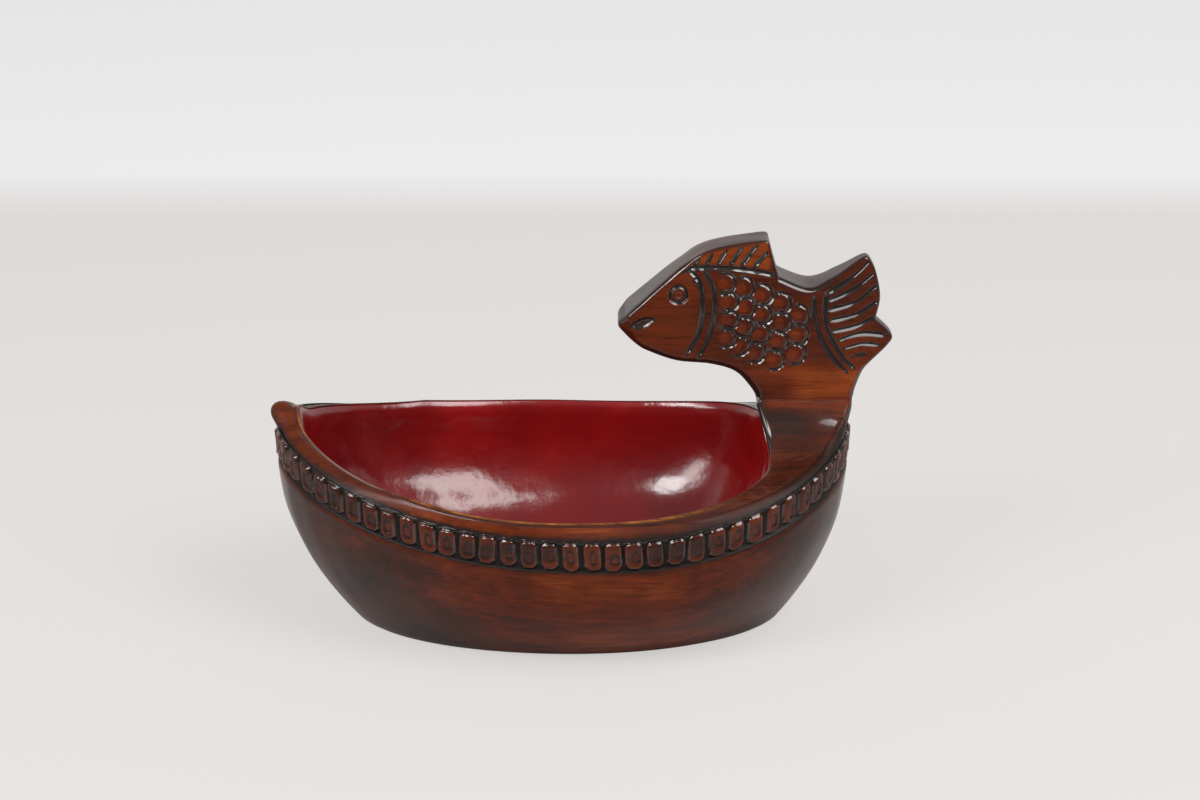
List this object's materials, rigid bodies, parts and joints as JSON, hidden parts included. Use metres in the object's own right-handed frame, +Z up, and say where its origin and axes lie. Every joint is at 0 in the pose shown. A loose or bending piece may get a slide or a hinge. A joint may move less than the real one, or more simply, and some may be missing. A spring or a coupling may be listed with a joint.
{
  "type": "fish-handled oval wooden dish",
  "caption": "Oval carved wooden dish with a red lacquered hollow, a carved bead band below the rim and a fish on a short neck as its handle.",
  "frame": {"origin": "centre of the flat underside, on the plane the dish rests on", "axes": "+Z up, +X along the dish towards the fish's tail, -Y the side whose fish faces left"},
  "size_m": [0.2391, 0.1378, 0.1561],
  "materials": {
    "stained_wood": "dark red-brown stain under gloss varnish, black in the carved grooves",
    "red_lacquer": "high-gloss crimson lacquer",
    "bare_wood": "plain turned dowel"
  },
  "bodies": {
    "root": {"bowl": "stained_wood", "lacquer_lining": "red_lacquer", "fish_handle": "stained_wood", "dowel_front": "bare_wood", "dowel_rear": "bare_wood"}
  },
  "joints": []
}
